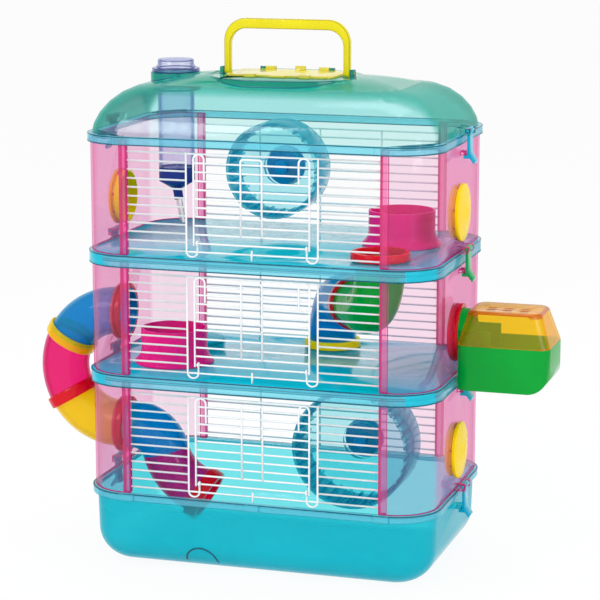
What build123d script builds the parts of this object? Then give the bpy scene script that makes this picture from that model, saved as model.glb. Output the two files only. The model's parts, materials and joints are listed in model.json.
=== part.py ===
from build123d import *
from math import acos, ceil, cos, degrees, hypot, radians, sin
import os

# Three-storey hamster cage. Millimetres, +Z up, front grilles face -Y.
# The origin is the middle of the tray's underside.

# ---- body -------------------------------------------------------------------------
length = 400.0             # outside of the bands, along X
depth = 263.0              # outside of the bands, along Y
corner_radius = 51.0       # outside of the bands, in plan
storey_pitch = 132.8       # from one deck to the next
floor_rise = 6.6           # deck above the panels it rests on
panel_wall = 2.2
panel_inset = 3.0          # panel face behind the band's face
mullion_width = 8.0
mullion_depth = 8.0
end_wall_reach = 59.0      # end wall, from the band's end to where the grille starts
seat_gap = 0.3             # between pieces that rest on or slide past each other
round_margin = 0.1         # a round stops this far short of a full half circle

# ---- tray -------------------------------------------------------------------------
tray_height = 84.0
tray_wall = 2.4
tray_rim_height = 8.0
tray_inset = 5.0           # tub wall behind the rim
tray_draft = 1.5           # degrees
tray_bottom_rounding = 36.0
flange_thickness = 2.6
rim_tab_width = 18.0
rim_tab_proud = 1.6

# ---- floors -----------------------------------------------------------------------
band_height = 13.2
band_wall = 2.6
deck_thickness = 2.6
ledge_width = 8.0

# ---- roof -------------------------------------------------------------------------
roof_rim_height = 9.1
dome_inset = 4.0
dome_wall = 2.4
shoulder_run = 56.0
shoulder_rise = 50.0
shoulder_power = 1.25      # 1 is a quarter ellipse, more is leaner
crown_rise = 10.0
crown_corner_share = 0.3   # how much the plan's corners tighten with height
crown_round_share = 0.45   # largest corner, as a share of the section's width
crown_levels = (0.25, 0.5, 0.8)      # sections of the crown, as shares of its run
shoulder_turn = 15         # degrees between sections of the shoulder
pad_length = 166.0
pad_width = 138.0
pad_corner = 64.0
pad_sink = 1.9             # pad below the crest of the roof
pad_wall_drop = 9.5
hatch_hole_length = 112.0
hatch_hole_width = 56.0

# ---- hatch and carry handle -------------------------------------------------------
hatch_length = 124.0
hatch_width = 70.0
hatch_thickness = 2.2
hatch_corner = 12.0
hatch_tab = 12.0
hatch_tab_proud = 5.0
hatch_tab_rise = 1.2
hatch_lip = 18.0
hatch_lap = 4.0
hatch_catch_x = 1.0        # left side of the upright finger tab
hatch_catch_back = 7.0     # tab in from the hinge edge
hatch_catch_rise = 7.0
hatch_hinge_radius = 2.6
hatch_pin_radius = 1.2
hatch_knuckle = 12.0       # along X
hatch_ear = 6.0            # far side of a hinge ear, beyond the knuckle
hatch_ear_half = 2.1       # half of a hinge ear, along Y: the plate's edge turns past it
handle_recess_front = 15.0
handle_recess_back = 9.0
handle_recess_depth = 2.0
handle_width = 143.6       # outside of the legs
handle_leg = 7.0           # leg, along X
handle_leg_depth = 8.0     # leg, along Y
handle_grip = 11.2         # grip, along Z
handle_height = 61.0       # above the pad
handle_corner = 25.0
handle_pin_radius = 2.0
handle_ear = 4.5
handle_ear_half = 4.5      # half of an ear, along Y and above the pivot
handle_pivot_rise = 3.2    # pivot above the pad
pin_clearance = 0.05

# ---- grilles and doors ------------------------------------------------------------
wire_radius = 1.0
wire_rows = 12
first_row = 7.3            # lowest wire above the deck
last_row_gap = 13.3        # highest wire below the panel's top
wire_inset = 7.0           # level wires in from the band's face
wire_lap = 1.4             # between the axes of two welded wires
frame_wire_x = 73.3
frame_loop_width = 12.3
door_side_x = 64.4
door_hook_width = 11.9
door_hook_drop = 27.0
door_bar_x = 11.7
door_bar_drop = 3.6        # middle wire's top below the highest row
stub_end = 0.9             # above the deck
wire_end_gap = 0.2         # level wires to the upright strips
wire_bend_margin = 0.2     # a hook's bends stop this far short of meeting
door_bar_bend = 3.0
eye_gap = 0.1              # door wire to the eye that it turns in

# ---- ports, plugs and tubes -------------------------------------------------------
port_rise = 44.0           # port centre above the deck
tube_radius = 27.0
tube_wall = 2.0
ring_bore_gap = 0.3
ring_neck = 29.4
ring_flange = 32.0
ring_flange_thickness = 4.0
hole_gap = 0.3
plug_radius = 31.5
plug_rim = 3.4
plug_dome = 2.6
plug_crown = (0, 0.5, 0.8, 1)        # points on the dome, as shares of its radius
plug_wall = 2.0
plug_depth = 8.0
outer_tube_stub = 6.0      # straight stretch beyond the wall
coupling_radius = 30.4
coupling_length = 13.0
coupling_gap = 1.0
coupling_step = 1.0        # raised middle of a coupling
coupling_slope = 1.5       # from a coupling's edge to its raised middle
inner_bend_straight = 12.0
inner_bend_radius = 38.0
inner_bend_turn = 75.0
inner_return_radius = 62.0
inner_return_turn = 45.0
inner_end_straight = 24.0
end_ring_radius = 31.5
end_ring_length = 12.0
climb_foot = (27.0, 86.0)
climb_head = (126.0, -70.0)
climb_bend_radius = 60.0
climb_middle_share = 0.512 # level stretch, as a share of the storey's pitch
floor_ring_height = 9.0
floor_ring_flange = 32.0
floor_ring_edge = 1.0
floor_plug_place = (-131.0, 66.0)

# ---- nest pod ---------------------------------------------------------------------
pod_gap = 5.0              # pod wall to cage wall
pod_length = 102.0
pod_width = 80.0
pod_depth = 55.8           # underside below the port's centre
pod_split_drop = 6.8       # lid's seam below the port's centre
pod_rise = 30.2            # lid's top above the port's centre
pod_wall = 2.4
pod_corner = 13.0
pod_bottom_rounding = 24.0
pod_lid_taper = 10.0
pod_notch_width = 30.0
pod_notch_depth = 17.0
pod_notch_height = 23.0
pod_wing_start = 10.0      # from the wall nearest the cage
pod_wing_length = 36.0
pod_wing_rise = 7.2        # wings' top above the port's centre
pod_spigot_lap = 8.0
pod_lean_far = 1.2         # lid's taper at the far end, as a share of the near end's
pod_lid_rounding = 4.0
vent_length = 9.0
vent_width = 2.4
vent_pitch_along = 18.0
vent_pitch_across = 9.6
vent_count = 6

# ---- bottle -----------------------------------------------------------------------
bottle_inset = 70.0        # bottle's axis in from the band's end
bottle_radius = 20.2
bottle_wall = 1.4
bottle_proud = 12.2        # above the crest of the roof
bottle_length = 121.6
bottle_cap_height = 15.0
bottle_cone_height = 8.0
bottle_neck_radius = 5.2
bottle_cone_step = 1.5     # cone's tip beyond the neck
spout_radius = 3.5
spout_bore = 2.6
spout_tilt = 10.0
spout_reach = 39.0         # tip below the foot of the cap's cone
neck_length = 13.0
bottle_bead = 1.6          # shoulder that rests on the collar
bottle_fit = 0.5           # bottle to collar, all round
collar_radius = 24.0
collar_flange = 26.5
collar_flange_height = 4.0
collar_height = 24.0
collar_boss_radius = 28.0
collar_boss_height = 20.0
ball_radius = 2.4
ball_recess = 1.5          # ball's centre inside the spout's tip

# ---- wheels -----------------------------------------------------------------------
upper_wheel_place = (-38.0, 70.4)    # X, and height above its deck
upper_wheel_radius = 55.0
upper_wheel_depth = 50.0
lower_wheel_place = (58.0, 18.5)
lower_wheel_radius = 69.0
lower_wheel_depth = 60.0
wheel_back_gap = 14.5      # back of a wheel to the level wires behind it
wheel_wall = 2.0
wheel_rung_height = 2.6
wheel_rung_width = 2.4
wheel_hub_radius = 23.0
wheel_hub_depth = 14.0
axle_radius = 4.0
axle_head_radius = 7.5
bracket_radius = 23.0
bracket_thickness = 4.0
bracket_gap = 3.0          # bracket behind the wheel
bracket_block = 20.0
bracket_hook = 5.0
upper_wheel_rungs = 24
lower_wheel_rungs = 30

# ---- bowls ------------------------------------------------------------------------
bowl_radius = 37.0
bowl_foot_radius = 44.0
bowl_height = 39.0
bowl_wall = 2.4
bowl_floor = 3.0
bowl_flare_knee = 7.2      # where the foot's slope steepens
bowl_flare_top = 14.4      # where the wall stands upright
upper_bowl_place = (124.0, 27.0)
middle_bowl_place = (-118.0, -46.0)

# ---- clips ------------------------------------------------------------------------
clip_width = 16.0
clip_pivot_out = 6.0       # pivot beyond the band
clip_pivot_rise = 5.0      # pivot above the deck
clip_barrel = 3.2
clip_pin = 1.6
clip_arm = 3.0
clip_reach = 27.3          # from the pivot down to the toe's seat
clip_toe = 3.0
clip_hook = 5.4            # toe's tip inward of the pivot
clip_lever = 6.0
ear_thickness = 5.0
catch_height = 4.0
catch_out = 3.6

# ---- levels -----------------------------------------------------------------------
panel_height = storey_pitch - floor_rise
mullion_inner_x = length / 2 - end_wall_reach
wire_plane = depth / 2 - wire_inset
row_pitch = (panel_height - first_row - last_row_gap) / (wire_rows - 1)
wheel_back_y = wire_plane - wheel_back_gap
deck_z = [tray_height + storey * storey_pitch for storey in range(3)]
storeys = ["lower", "middle", "upper"]
roof_seat_z = deck_z[2] + panel_height
roof_rim_top = roof_seat_z + flange_thickness
crest_z = roof_rim_top + shoulder_rise + crown_rise
pad_top_z = crest_z - pad_sink
collar_seat_z = pad_top_z
handle_top_z = pad_top_z + handle_height
bottle_x = -length / 2 + bottle_inset
bottle_top_z = crest_z + bottle_proud
bottle_cap_z = bottle_top_z - bottle_length
wall_x = length / 2 - panel_inset


def save(part, name):
    """Label a finished piece and write it as its own file."""
    part.label = name
    export_step(part, f"parts/{name}.step")


def plan(inset, mode=Mode.ADD):
    """Rounded rectangle in plan, set in from the outside of the bands."""
    RectangleRounded(length - 2 * inset, depth - 2 * inset, corner_radius - inset, mode=mode)


def prism(inset, low_z, high_z):
    """Solid with the cage's plan shape between two levels."""
    with BuildPart() as block:
        with BuildSketch(Plane.XY.offset(low_z)):
            plan(inset)
        extrude(amount=high_z - low_z)
    return block.part


def turned(origin, direction, outline):
    """Solid of revolution. Outline points are (radius, distance along the axis)."""
    across = Plane(origin=origin, z_dir=direction).x_dir
    along = Vector(*direction).normalized()
    section = Plane(origin=origin, x_dir=across, z_dir=across.cross(along))
    with BuildPart() as body:
        with BuildSketch(section):
            with BuildLine():
                Polyline(*outline, close=True)
            make_face()
        revolve(axis=Axis(origin, direction))
    return body.part


def rod(start, end, radius):
    """Straight round bar from one point to another, joined to the part being built."""
    run = Vector(*end) - Vector(*start)
    with Locations(Plane(origin=start, z_dir=run)):
        Cylinder(radius, run.length, align=(Align.CENTER, Align.CENTER, Align.MIN))


def block(low, high, mode=Mode.ADD):
    """Box between two corners, in the part being built."""
    size = [high[i] - low[i] for i in range(3)]
    middle = [(high[i] + low[i]) / 2 for i in range(3)]
    with Locations(tuple(middle)):
        Box(*size, mode=mode)


def bent_wire(points, bend_radius):
    """Wire through the points with rounded corners, joined to the part being built."""
    with BuildLine() as route:
        FilletPolyline(*points, radius=bend_radius)
    with BuildSketch(route.line ^ 0) as section:
        Circle(wire_radius)
    sweep(sections=section.sketch, path=route.line)


def pipe(plane, start, heading, steps):
    """Tube in a plane. Steps are ("run", length) or ("bend", radius, degrees, turn left is plus)."""
    with BuildLine() as route:
        point = Vector(*start)
        angle = heading
        for step in steps:
            tangent = Vector(cos(radians(angle)), sin(radians(angle)))
            if step[0] == "run":
                Line(point, point + tangent * step[1])
                point = point + tangent * step[1]
            else:
                JernArc(start=point, tangent=tangent, radius=step[1], arc_size=step[2])
                side = 1 if step[2] > 0 else -1
                centre = point + Vector(-tangent.Y, tangent.X) * step[1] * side
                point = centre + (point - centre).rotate(Axis.Z, step[2])
                angle = angle + step[2]
    path = route.line.moved(plane.location)
    with BuildPart() as tube:
        with BuildSketch(path ^ 0) as outside:
            Circle(tube_radius)
        sweep(sections=outside.sketch, path=path)
        with BuildSketch(path ^ 0) as inside:
            Circle(tube_radius - tube_wall)
        sweep(sections=inside.sketch, path=path, mode=Mode.SUBTRACT)
    return tube.part, point, angle


os.makedirs("parts", exist_ok=True)

# ====================================================================================
# Tray, floors and roof
# ====================================================================================


def tub(inset, low_z, rounding):
    """Tapered tub with a rounded bottom, up to the tray's rim."""
    rise = tray_height - low_z
    with BuildPart() as body:
        with BuildSketch(Plane.XY.offset(tray_height)):
            plan(inset)
        extrude(amount=-rise, taper=tray_draft)
        fillet(body.edges().group_by(Axis.Z)[0], rounding)
    return body.part


def side_lug(side, wall, top):
    """Small block on an end wall that a clip hooks under."""
    near = side * wall
    far = side * (length / 2 + catch_out)
    block((min(near, far), -clip_width / 2, top - catch_height), (max(near, far), clip_width / 2, top))


def clip_ears(side, wall, deck):
    """Two ears with the hole that a clip's pin turns in."""
    pivot_z = deck + clip_pivot_rise
    near = side * wall
    far = side * (length / 2 + clip_pivot_out + clip_barrel)
    inner = clip_width / 2 + seat_gap
    for end in (-1, 1):
        ys = sorted((end * inner, end * (inner + ear_thickness)))
        block((min(near, far), ys[0], deck + seat_gap), (max(near, far), ys[1], pivot_z + clip_barrel))
    pivot = Plane(origin=(side * (length / 2 + clip_pivot_out), 0, pivot_z), z_dir=(0, 1, 0))
    with Locations(pivot):
        Cylinder(clip_pin + pin_clearance, 4 * clip_width, mode=Mode.SUBTRACT)


catch_top_below_deck = clip_reach - clip_pivot_rise - seat_gap - catch_height

with BuildPart() as base_tray:
    add(tub(tray_inset, 0.0, tray_bottom_rounding))
    add(prism(0.0, tray_height - tray_rim_height, tray_height))
    add(tub(tray_inset + tray_wall, tray_wall, tray_bottom_rounding - tray_wall), mode=Mode.SUBTRACT)
    rim_gap = prism(band_wall, tray_height - tray_rim_height, tray_height - flange_thickness)
    rim_core = tub(tray_inset, 0.0, tray_bottom_rounding)
    add(rim_gap - rim_core, mode=Mode.SUBTRACT)
    for tab_x in (-mullion_inner_x - mullion_width / 2, 0.0, mullion_inner_x + mullion_width / 2):
        tab_low = (tab_x - rim_tab_width / 2, -depth / 2 - rim_tab_proud, tray_height - tray_rim_height)
        tab_high = (tab_x + rim_tab_width / 2, -depth / 2 + rim_tab_proud, tray_height)
        block(tab_low, tab_high)
    for side in (-1, 1):
        side_lug(side, length / 2 - tray_inset - tray_wall, tray_height - catch_top_below_deck)
save(base_tray.part, "base_tray")


def floor_part(deck, holes):
    """Deck with its band, the ledge that rests on the panels below, and the tube holes."""
    ledge_z = deck - (storey_pitch - panel_height)
    with BuildPart() as body:
        add(prism(0.0, deck - band_height, deck))
        add(prism(ledge_width, deck - band_height, deck - deck_thickness), mode=Mode.SUBTRACT)
        add(prism(band_wall, deck - band_height, ledge_z), mode=Mode.SUBTRACT)
        for place in holes:
            with Locations((place[0], place[1], deck)):
                Cylinder(ring_neck + hole_gap, 4 * deck_thickness, mode=Mode.SUBTRACT)
    return body.part


save(floor_part(deck_z[1], [climb_foot, floor_plug_place]), "lower_floor")
save(floor_part(deck_z[2], [climb_head]), "upper_floor")


def dome_height(inset):
    """Height of the roof above its rim, at a distance in from the band's outside."""
    run = inset - dome_inset
    if run < shoulder_run:
        return shoulder_rise * sin(acos(1 - run / shoulder_run)) ** shoulder_power
    half = depth / 2 - dome_inset - shoulder_run
    share = (depth / 2 - inset) / half
    return shoulder_rise + crown_rise * (1 - share ** 2)


def dome(offset_in):
    """Solid dome. Its wall is made by taking a smaller dome away."""
    turns = range(0, 91, shoulder_turn)
    shoulder_steps = [dome_inset + shoulder_run * (1 - cos(radians(turn))) for turn in turns]
    crown_start = dome_inset + shoulder_run
    crown_end = depth / 2
    crown_steps = [crown_start + (crown_end - crown_start) * share for share in crown_levels]
    with BuildPart() as body:
        for inset in shoulder_steps + crown_steps:
            level = roof_rim_top + dome_height(inset) * (1 - offset_in / crest_height)
            width = depth - 2 * (inset + offset_in)
            corner = min(corner_radius - offset_in - crown_corner_share * inset, crown_round_share * width)
            with BuildSketch(Plane.XY.offset(level)):
                RectangleRounded(length - 2 * (inset + offset_in), width, corner)
        loft(ruled=True)
    return body.part


crest_height = shoulder_rise + crown_rise
pivot_handle_z = pad_top_z + handle_pivot_rise
leg_centre_x = handle_width / 2 - handle_leg / 2
hinge_hatch_y = hatch_width / 2 + hatch_hinge_radius + seat_gap
hatch_knuckle_x = hatch_length / 4
hinge_hatch_z = pad_top_z + seat_gap + hatch_hinge_radius

with BuildPart() as roof:
    add(dome(0.0))
    add(prism(0.0, roof_rim_top - roof_rim_height, roof_rim_top))
    add(prism(dome_inset + dome_wall, roof_rim_top - roof_rim_height, roof_rim_top), mode=Mode.SUBTRACT)
    add(prism(band_wall, roof_rim_top - roof_rim_height, roof_seat_z), mode=Mode.SUBTRACT)
    add(dome(dome_wall), mode=Mode.SUBTRACT)
    with BuildSketch(Plane.XY.offset(pad_top_z)):
        RectangleRounded(pad_length, pad_width, pad_corner)
    extrude(amount=pad_wall_drop, mode=Mode.SUBTRACT)
    with BuildSketch(Plane.XY.offset(pad_top_z)):
        RectangleRounded(pad_length, pad_width, pad_corner)
        RectangleRounded(pad_length - 2 * dome_wall, pad_width - 2 * dome_wall, pad_corner - dome_wall,
                         mode=Mode.SUBTRACT)
    extrude(amount=-pad_wall_drop)
    with BuildSketch(Plane.XY.offset(pad_top_z)):
        RectangleRounded(pad_length, pad_width, pad_corner)
    extrude(amount=-flange_thickness)
    with Locations((0, 0, pad_top_z)):
        Box(hatch_hole_length, hatch_hole_width, 6 * dome_wall, mode=Mode.SUBTRACT)
    for side in (-1, 1):
        leg_x = side * leg_centre_x
        half_slot = handle_leg / 2 + seat_gap
        block((leg_x - half_slot, -handle_recess_front, pad_top_z - handle_recess_depth),
              (leg_x + half_slot, handle_recess_back, pad_top_z + handle_leg), mode=Mode.SUBTRACT)
        ear_near = handle_width / 2 + seat_gap
        ear_x = sorted((side * ear_near, side * (ear_near + handle_ear)))
        block((ear_x[0], -handle_ear_half, pad_top_z - flange_thickness / 2),
              (ear_x[1], handle_ear_half, pivot_handle_z + handle_ear_half))
        with Locations(Plane(origin=(side * handle_width / 2, 0, pivot_handle_z), z_dir=(1, 0, 0))):
            Cylinder(handle_pin_radius + pin_clearance, 4 * handle_ear, mode=Mode.SUBTRACT)
        hinge_x = sorted((side * (hatch_knuckle_x + hatch_knuckle / 2 + seat_gap),
                          side * (hatch_knuckle_x + hatch_knuckle / 2 + hatch_ear)))
        block((hinge_x[0], hinge_hatch_y - hatch_ear_half, pad_top_z - flange_thickness / 2),
              (hinge_x[1], hinge_hatch_y + hatch_ear_half, hinge_hatch_z + hatch_ear_half))
        knuckle_centre = (side * hatch_knuckle_x, hinge_hatch_y, hinge_hatch_z)
        with Locations(Plane(origin=knuckle_centre, z_dir=(1, 0, 0))):
            Cylinder(hatch_pin_radius + pin_clearance, 4 * hatch_knuckle, mode=Mode.SUBTRACT)
        clip_ears(side, length / 2 - dome_inset - dome_wall, roof_rim_top)
        tab_x = side * (mullion_inner_x + mullion_width / 2)
        block((tab_x - rim_tab_width / 2, -depth / 2 - rim_tab_proud, roof_rim_top - roof_rim_height),
              (tab_x + rim_tab_width / 2, -depth / 2 + rim_tab_proud, roof_rim_top))
    boss_foot = (bottle_x, 0, collar_seat_z - collar_boss_height)
    with Locations(boss_foot):
        Cylinder(collar_boss_radius, collar_boss_height, align=(Align.CENTER, Align.CENTER, Align.MIN))
    with Locations(boss_foot):
        Cylinder(collar_radius + hole_gap, 4 * collar_boss_height, mode=Mode.SUBTRACT)
save(roof.part, "roof")

# ====================================================================================
# Pink end panels
# ====================================================================================


def end_panel_sketch(side):
    """Plan of an end panel: the wall, cut off at the grille, and its two upright strips."""
    reach = length / 2 - mullion_inner_x
    plan(panel_inset)
    plan(panel_inset + panel_wall, mode=Mode.SUBTRACT)
    with Locations((side * (mullion_inner_x + reach / 2), 0)):
        Rectangle(reach, depth, mode=Mode.INTERSECT)
    strip_y = depth / 2 - panel_inset - mullion_depth / 2
    strip_x = side * (mullion_inner_x + mullion_width / 2)
    with Locations((strip_x, -strip_y), (strip_x, strip_y)):
        Rectangle(mullion_width, mullion_depth)


def make_end_panel(side, storey):
    """End wall with its port hole, the ears of the clip below it and the catch of the clip above."""
    low = deck_z[storey]
    with BuildPart() as body:
        with BuildSketch(Plane.XY.offset(low)):
            end_panel_sketch(side)
        extrude(amount=panel_height)
        with Locations(Plane(origin=(side * wall_x, 0, low + port_rise), z_dir=(1, 0, 0))):
            Cylinder(ring_neck + hole_gap, 4 * mullion_depth, mode=Mode.SUBTRACT)
        clip_ears(side, wall_x - panel_wall, low)
        next_deck = roof_rim_top if storey == 2 else deck_z[storey + 1]
        side_lug(side, wall_x - panel_wall, next_deck - catch_top_below_deck)
    return body.part


for storey, storey_name in enumerate(storeys):
    for side, side_name in ((-1, "left"), (1, "right")):
        save(make_end_panel(side, storey), f"{storey_name}_{side_name}_panel")

# ====================================================================================
# Wire grilles and doors
# ====================================================================================

wire_end_x = mullion_inner_x - wire_end_gap
last_row = first_row + (wire_rows - 1) * row_pitch
hinge_rise = first_row + row_pitch
u_bottom = wire_radius + stub_end
frame_plane = wire_plane + wire_lap
door_upright_plane = frame_plane + wire_lap
eye_bore = wire_radius + eye_gap
eye_ring = eye_bore + wire_radius


def grille(front, deck):
    """Level wires welded to upright ones. A front grille leaves the doorway open."""
    face = -1 if front else 1
    level_y = face * wire_plane
    upright_y = face * frame_plane
    with BuildPart() as body:
        for row in range(wire_rows):
            z = deck + first_row + row * row_pitch
            if front and 0 < row < wire_rows - 1:
                rod((-wire_end_x, level_y, z), (-frame_wire_x, level_y, z), wire_radius)
                rod((frame_wire_x, level_y, z), (wire_end_x, level_y, z), wire_radius)
            else:
                rod((-wire_end_x, level_y, z), (wire_end_x, level_y, z), wire_radius)
        for side in (-1, 1):
            outer_x = side * frame_wire_x
            inner_x = side * (frame_wire_x - frame_loop_width)
            if front:
                points = [(outer_x, upright_y, deck + last_row + wire_radius),
                          (outer_x, upright_y, deck + u_bottom),
                          (inner_x, upright_y, deck + u_bottom),
                          (inner_x, upright_y, deck + hinge_rise - eye_ring)]
                bent_wire(points, frame_loop_width / 2 - wire_bend_margin)
                with Locations(Plane(origin=(inner_x, upright_y, deck + hinge_rise), z_dir=(1, 0, 0))):
                    Torus(eye_ring, wire_radius)
            else:
                foot = (outer_x, upright_y, deck + u_bottom)
                rod(foot, (outer_x, upright_y, deck + last_row), wire_radius)
        stub_top = first_row + row_pitch / 2 if front else last_row
        rod((0, upright_y, deck + stub_end), (0, upright_y, deck + stub_top), wire_radius)
    return body.part


def door(deck):
    """Wire door: level bars between two hooked side wires and a U-shaped middle wire."""
    with BuildPart() as body:
        for row in range(1, wire_rows - 1):
            z = deck + first_row + row * row_pitch
            rod((-door_side_x, -frame_plane, z), (door_side_x, -frame_plane, z), wire_radius)
        hook_top = deck + last_row
        for side in (-1, 1):
            outer_x = side * door_side_x
            inner_x = side * (door_side_x - door_hook_width)
            points = [(outer_x, -door_upright_plane, deck + hinge_rise - 2 * wire_radius),
                      (outer_x, -door_upright_plane, hook_top),
                      (inner_x, -door_upright_plane, hook_top),
                      (inner_x, -door_upright_plane, hook_top - door_hook_drop)]
            bent_wire(points, door_hook_width / 2 - wire_bend_margin)
        bar_foot = deck + first_row + 2 * row_pitch
        points = [(-door_bar_x, -door_upright_plane, bar_foot),
                  (-door_bar_x, -door_upright_plane, deck + last_row - door_bar_drop),
                  (door_bar_x, -door_upright_plane, deck + last_row - door_bar_drop),
                  (door_bar_x, -door_upright_plane, bar_foot)]
        bent_wire(points, door_bar_bend)
    return body.part


for storey, storey_name in enumerate(storeys):
    save(grille(True, deck_z[storey]), f"front_{storey_name}_grille")
    save(grille(False, deck_z[storey]), f"back_{storey_name}_grille")
    save(door(deck_z[storey]), f"{storey_name}_door")

# ====================================================================================
# Hatch and carry handle
# ====================================================================================

with BuildPart() as roof_hatch:
    plate_z = pad_top_z + seat_gap
    with BuildSketch(Plane.XY.offset(plate_z)):
        RectangleRounded(hatch_length, hatch_width, hatch_corner)
    extrude(amount=hatch_thickness)
    front_edge = -hatch_width / 2
    for tab_x in (-hatch_knuckle_x, hatch_knuckle_x):
        block((tab_x - hatch_tab / 2, front_edge - hatch_tab_proud, plate_z),
              (tab_x + hatch_tab / 2, front_edge + hatch_lap, plate_z + hatch_thickness + hatch_tab_rise))
    block((-hatch_lip / 2, front_edge - hatch_tab_proud, plate_z + seat_gap),
          (hatch_lip / 2, front_edge + hatch_lap, plate_z + hatch_thickness))
    block((hatch_catch_x, -front_edge - hatch_catch_back - hatch_thickness, plate_z),
          (hatch_catch_x + hatch_tab, -front_edge - hatch_catch_back, plate_z + hatch_catch_rise))
    for side in (-1, 1):
        centre_x = side * hatch_knuckle_x
        pin_end = centre_x + side * (hatch_knuckle / 2 + hatch_ear)
        block((centre_x - hatch_knuckle / 2, hatch_width / 2 - hatch_lap, plate_z),
              (centre_x + hatch_knuckle / 2, hinge_hatch_y, plate_z + hatch_thickness))
        rod((centre_x - hatch_knuckle / 2, hinge_hatch_y, hinge_hatch_z),
            (centre_x + hatch_knuckle / 2, hinge_hatch_y, hinge_hatch_z), hatch_hinge_radius)
        rod((centre_x, hinge_hatch_y, hinge_hatch_z),
            (pin_end, hinge_hatch_y, hinge_hatch_z), hatch_pin_radius)
save(roof_hatch.part, "roof_hatch")

with BuildPart() as carry_handle:
    leg_foot_z = pivot_handle_z - handle_leg_depth / 2
    with BuildSketch(Plane.XZ):
        with Locations((0, leg_foot_z)):
            outer = Rectangle(handle_width, handle_top_z - leg_foot_z, align=(Align.CENTER, Align.MIN))
        fillet(outer.vertices().group_by(Axis.Y)[-1], handle_corner)
        with BuildSketch(mode=Mode.SUBTRACT):
            with Locations((0, leg_foot_z)):
                inner = Rectangle(handle_width - 2 * handle_leg, handle_top_z - handle_grip - leg_foot_z,
                                  align=(Align.CENTER, Align.MIN))
            fillet(inner.vertices().group_by(Axis.Y)[-1], handle_corner - handle_leg)
    extrude(amount=handle_leg_depth / 2, both=True)
    foot_edges = carry_handle.edges().filter_by(Axis.X).group_by(Axis.Z)[0]
    fillet(foot_edges, handle_leg_depth / 2 - round_margin)
    for side in (-1, 1):
        pin_tip = (side * (handle_width / 2 + handle_ear), 0, pivot_handle_z)
        rod((side * leg_centre_x, 0, pivot_handle_z), pin_tip, handle_pin_radius)
save(carry_handle.part, "carry_handle")

# ====================================================================================
# Water bottle
# ====================================================================================

collar_foot_z = collar_seat_z - collar_height + collar_flange_height
collar_top_z = collar_seat_z + seat_gap + collar_flange_height
bottle_bore = bottle_radius + bottle_fit
save(turned((bottle_x, 0, 0), (0, 0, 1), [
    (bottle_bore, collar_foot_z), (collar_radius, collar_foot_z), (collar_radius, collar_seat_z + seat_gap),
    (collar_flange, collar_seat_z + seat_gap), (collar_flange, collar_top_z), (bottle_bore, collar_top_z)]),
    "bottle_collar")

bead_z = collar_top_z + seat_gap
inner_radius = bottle_radius - bottle_wall
save(turned((bottle_x, 0, 0), (0, 0, 1), [
    (inner_radius, bottle_cap_z), (bottle_radius, bottle_cap_z), (bottle_radius, bead_z),
    (bottle_radius + bottle_bead, bead_z), (bottle_radius + bottle_bead, bead_z + bottle_bead),
    (bottle_radius, bead_z + 2 * bottle_bead), (bottle_radius, bottle_top_z - bottle_wall),
    (inner_radius, bottle_top_z), (0, bottle_top_z), (0, bottle_top_z - bottle_wall),
    (inner_radius, bottle_top_z - bottle_wall)]), "bottle_body")

cap_foot_z = bottle_cap_z - bottle_cap_height
cone_foot_z = cap_foot_z - bottle_cone_height
spout_way = (sin(radians(spout_tilt)), 0, -cos(radians(spout_tilt)))
spout_length = spout_reach / cos(radians(spout_tilt))


def along_spout(distance):
    """Point on the spout's axis, measured from the foot of the cap's cone."""
    return tuple(start + way * distance for start, way in zip((bottle_x, 0, cone_foot_z), spout_way))


with BuildPart() as bottle_cap:
    add(turned((bottle_x, 0, 0), (0, 0, 1), [
        (0, cone_foot_z), (bottle_neck_radius + bottle_cone_step, cone_foot_z), (bottle_radius, cap_foot_z),
        (bottle_radius, bottle_cap_z), (0, bottle_cap_z)]))
    rod(along_spout(-bottle_neck_radius / 2), along_spout(neck_length), bottle_neck_radius)
    with Locations(Plane(origin=along_spout(neck_length / 2), z_dir=spout_way)):
        Cylinder(spout_radius, neck_length, mode=Mode.SUBTRACT)
save(bottle_cap.part, "bottle_cap")

ball_seat = spout_length - ball_recess
with BuildPart() as spout_tube:
    rod(along_spout(seat_gap), along_spout(spout_length), spout_radius)
    with Locations(Plane(origin=along_spout(0), z_dir=spout_way)):
        Cylinder(spout_bore, 4 * spout_length, mode=Mode.SUBTRACT)
with BuildPart() as spout_ball:
    with Locations(along_spout(ball_seat)):
        Sphere(ball_radius)
save(Compound(children=[spout_tube.part, spout_ball.part]), "drinking_spout")

# ====================================================================================
# Exercise wheels
# ====================================================================================


def wheel(place, deck, radius, wheel_depth, rungs):
    """Open drum with a closed back, rungs on its tread and a hub round the axle."""
    front_y = wheel_back_y - wheel_depth
    centre_z = deck + place[1]
    bore = axle_radius + pin_clearance
    with BuildPart() as body:
        add(turned((place[0], 0, centre_z), (0, 1, 0), [
            (bore, wheel_back_y), (radius, wheel_back_y), (radius, front_y),
            (radius - 2 * wheel_wall, front_y), (radius - 2 * wheel_wall, front_y + wheel_wall),
            (radius - wheel_wall, front_y + 2 * wheel_wall),
            (radius - wheel_wall, wheel_back_y - wheel_wall), (wheel_hub_radius, wheel_back_y - wheel_wall),
            (wheel_hub_radius - wheel_wall, wheel_back_y - wheel_hub_depth),
            (bore, wheel_back_y - wheel_hub_depth)]))
        tread = Plane(origin=(place[0], (front_y + wheel_back_y) / 2, centre_z), z_dir=(0, 1, 0))
        with Locations(tread):
            with PolarLocations(radius - wheel_wall - wheel_rung_height / 2, rungs):
                Box(wheel_rung_height + wheel_wall, wheel_rung_width, wheel_depth - 2 * wheel_wall)
    return body.part


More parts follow.
